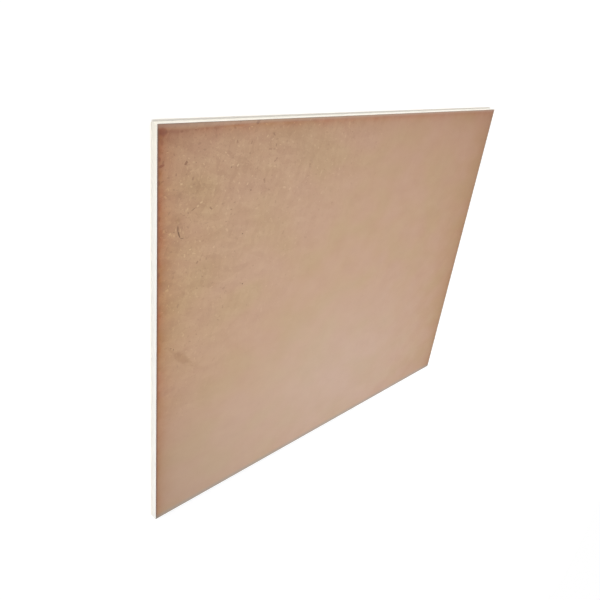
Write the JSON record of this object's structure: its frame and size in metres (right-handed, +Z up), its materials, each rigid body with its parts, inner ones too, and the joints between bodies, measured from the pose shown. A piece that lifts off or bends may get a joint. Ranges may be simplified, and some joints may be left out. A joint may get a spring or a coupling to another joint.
{
  "type": "chipboard panel",
  "caption": "Flat rectangular chipboard sheet with a brown, finely flecked face, a darker reddish rim and thin cream edging glued round its sides.",
  "frame": {"origin": "centre of the underside, on the floor that the panel lies on", "axes": "+X along the panel's length, +Y across its width towards the edge at the top of the picture, +Z up out of the brown face"},
  "size_m": [1.25, 1, 0.018],
  "materials": {
    "chipboard": "matte",
    "edging": "satin"
  },
  "bodies": {
    "root": {"board": "chipboard", "edging_left": "edging", "edging_right": "edging", "edging_front": "edging", "edging_back": "edging"}
  },
  "joints": []
}
